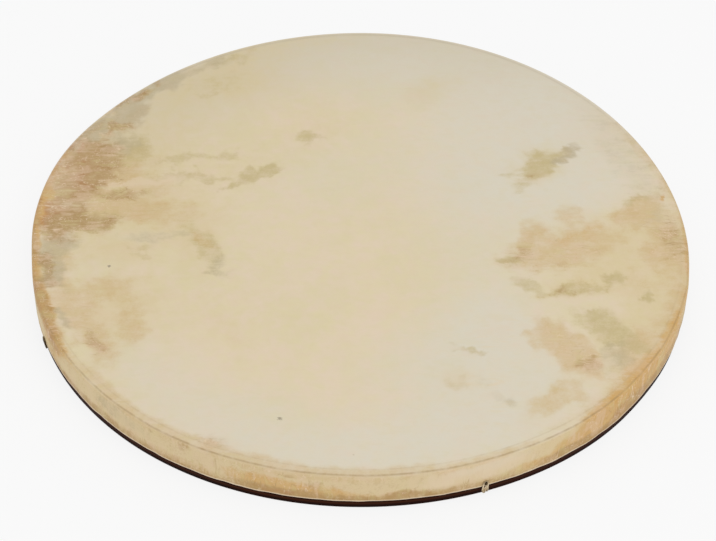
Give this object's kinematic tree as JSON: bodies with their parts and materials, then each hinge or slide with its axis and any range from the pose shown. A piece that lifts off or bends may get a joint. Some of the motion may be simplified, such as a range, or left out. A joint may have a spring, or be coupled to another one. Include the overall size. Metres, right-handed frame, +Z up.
{
  "type": "frame drum",
  "caption": "Shallow hand-held frame drum: a dark bentwood hoop under a rawhide head drawn down its side, with knotted rawhide thongs crossing the open back as a grip.",
  "frame": {"origin": "centre of the hoop on the plane of its underside, where the drum rests", "axes": "+Z up along the drum's axis, out of the playing face; the upper grip thong runs along Y and the lower one within two degrees of X"},
  "size_m": [0.5682, 0.5686, 0.0375],
  "materials": {
    "stained_wood": "dark stained bentwood, satin",
    "rawhide": "dry scraped rawhide, stained and matte",
    "thong_hide": "twisted rawhide, dull"
  },
  "bodies": {
    "root": {"hoop": "stained_wood", "drumhead": "rawhide", "grip_thong_lower": "thong_hide", "grip_thong_upper": "thong_hide"}
  },
  "joints": []
}
